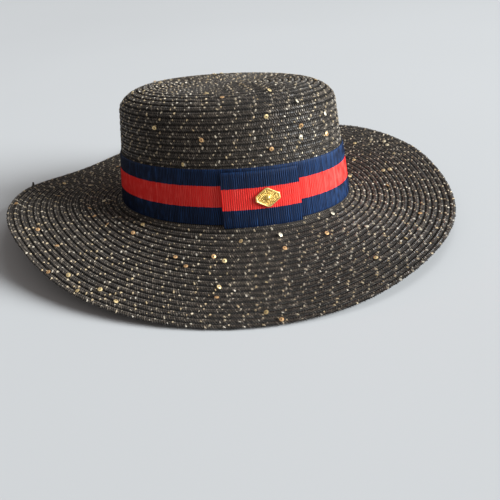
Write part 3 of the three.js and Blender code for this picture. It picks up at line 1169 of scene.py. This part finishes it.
# The granules are stamped with the plate and crowd its field, no nearer than their spacing.
GRANULE = 0.5
GRANULE_SPACING = 1.75 * GRANULE
GRANULE_SIZES = {"low": 0.8, "high": 1.15}
GRANULES_MOST = 8e6


def granule_tree():
    """Small round granules crowded over a surface."""
    tree, given = geometry_tree("stud_granules", {
        "Radius": "Float", "Spacing": "Float", "Seed": "Int", "Material": "Material",
    })
    points = made(tree, "GeometryNodeDistributePointsOnFaces", {
        "Mesh": given["Geometry"], "Distance Min": given["Spacing"], "Density Max": GRANULES_MOST,
        "Seed": given["Seed"],
    }, distribute_method="POISSON")
    ball = made(tree, "GeometryNodeMeshIcoSphere", {"Radius": given["Radius"], "Subdivisions": 2})
    sizes = random_between(tree, seed=given["Seed"], **GRANULE_SIZES)
    lay(tree, given, points, ball, True, {"Scale": sizes})
    return tree


stud_field = relief_mesh("stud_field", STUD_RINGS[FIELD_RINGS], capped=False)
show_grown("stud_granules", stud_field, granule_tree(), {
    "Radius": GRANULE / 1000, "Spacing": GRANULE_SPACING / 1000, "Seed": 3, "Material": gilt,
}, "brass")

# The floor, the light and the camera
# A plain pale floor, a wide and distant low window on the hat's front left, a dimmer round screen
# high on its left, both a little cool, and dim warm air all round. The lights' and the camera's
# bearings count as the hat's do.
FLOOR_SIZE = 60.0
FLOOR_DIM = (0.57, 0.57, 0.57, 1)
FLOOR_PALE = (0.61, 0.61, 0.61, 1)
FLOOR_PATCHES = {"Scale": 2.0, "Detail": 2.0}
FLOOR_ROUGHNESS = 0.9
WINDOW = {"bearing": 22, "elevation": 23, "angle": 33, "strength": 6.6}
SCREEN = {"bearing": 74, "elevation": 65, "away": 1.2, "radius": 0.35, "power": 11.0}
LAMP_COLOUR = (0.90, 0.96, 1.0)
AIR = {"Color": (1.0, 0.94, 0.92, 1), "Strength": 0.24}
CAMERA = {"place": (-406.4, -358.9, 253.0), "bearing": -50.01, "elevation": 28.63, "roll": -5.556}
CAMERA_LENS = 50.4
CAMERA_NEAR = 0.01

floor_half = FLOOR_SIZE / 2
floor_mesh = bpy.data.meshes.new("floor")
floor_mesh.from_pydata(
    [(-floor_half, -floor_half, 0), (floor_half, -floor_half, 0),
     (floor_half, floor_half, 0), (-floor_half, floor_half, 0)], [], [(0, 1, 2, 3)],
)
floor = put("floor", floor_mesh)
floor_finish, floor_tree, floor_shader = new_finish("pale_floor")
floor_tone = grouped(floor_tree, soft_patches, FLOOR_PATCHES)
feed(floor_tree, floor_shader, {
    "Base Color": blend_colour(floor_tree, floor_tone, FLOOR_DIM, FLOOR_PALE),
    "Roughness": FLOOR_ROUGHNESS,
})
floor_mesh.materials.append(floor_finish)

world = bpy.data.worlds.new("pale_air")
world.use_nodes = True
feed(world.node_tree, world.node_tree.nodes["Background"], AIR)
bpy.context.scene.world = world


def from_bearing(bearing, elevation):
    """The direction out to a bearing in degrees, at an elevation in degrees."""
    bearing, elevation = math.radians(bearing), math.radians(elevation)
    level = math.cos(elevation)
    return Vector((math.sin(bearing) * level, -math.cos(bearing) * level, math.sin(elevation)))


def set_up_lamp(name, kind, energy, towards):
    """A lamp that stands at the end of a direction and shines back along it."""
    lamp = bpy.data.lights.new(name, kind)
    lamp.energy = energy
    lamp.color = LAMP_COLOUR
    stood = put(name, lamp)
    stood.visible_camera = False
    stood.location = towards
    stood.rotation_euler = towards.to_track_quat("Z", "Y").to_euler()
    return lamp


window_way = from_bearing(WINDOW["bearing"], WINDOW["elevation"])
screen_way = from_bearing(SCREEN["bearing"], SCREEN["elevation"])
window = set_up_lamp("window", "SUN", WINDOW["strength"], window_way)
window.angle = math.radians(WINDOW["angle"])
screen = set_up_lamp("screen", "POINT", SCREEN["power"], screen_way * SCREEN["away"])
screen.shadow_soft_size = SCREEN["radius"]

camera_data = bpy.data.cameras.new("camera")
camera_data.lens = CAMERA_LENS
camera_data.clip_start = CAMERA_NEAR
camera = put("camera", camera_data)
camera_ahead = -from_bearing(CAMERA["bearing"], CAMERA["elevation"])
camera_turn = camera_ahead.to_track_quat("-Z", "Y").to_matrix().to_4x4()
camera_turn = camera_turn @ Matrix.Rotation(math.radians(CAMERA["roll"]), 4, "Z")
camera.matrix_world = Matrix.Translation(Vector(CAMERA["place"]) / 1000) @ camera_turn
bpy.context.scene.camera = camera
bpy.context.scene.view_settings.view_transform = "Standard"
